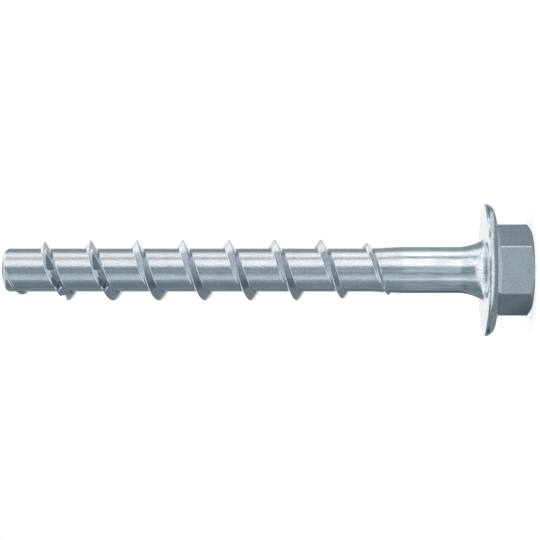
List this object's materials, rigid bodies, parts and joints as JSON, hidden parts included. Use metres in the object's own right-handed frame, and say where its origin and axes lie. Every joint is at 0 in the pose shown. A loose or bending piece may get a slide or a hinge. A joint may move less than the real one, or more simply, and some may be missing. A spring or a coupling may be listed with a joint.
{
  "type": "concrete screw",
  "caption": "One-piece steel screw anchor for concrete, with a hexagon flange head, a plain shank and a coarse right-handed thread with cutting teeth behind its flat tip.",
  "frame": {"origin": "centre of the bearing face, the flat underside of the flange", "axes": "+Z along the shank from the bearing face to the tip; +X square to one pair of the hexagon's corners, so that two corners lie on the X axis; the screw stands on the end of its head"},
  "size_m": [0.0168, 0.0168, 0.066],
  "materials": {
    "zinc_plated_steel": "bright bluish zinc plating on rolled and forged steel, with fine streaks along the shank"
  },
  "bodies": {
    "root": {"concrete_screw": "zinc_plated_steel"}
  },
  "joints": []
}
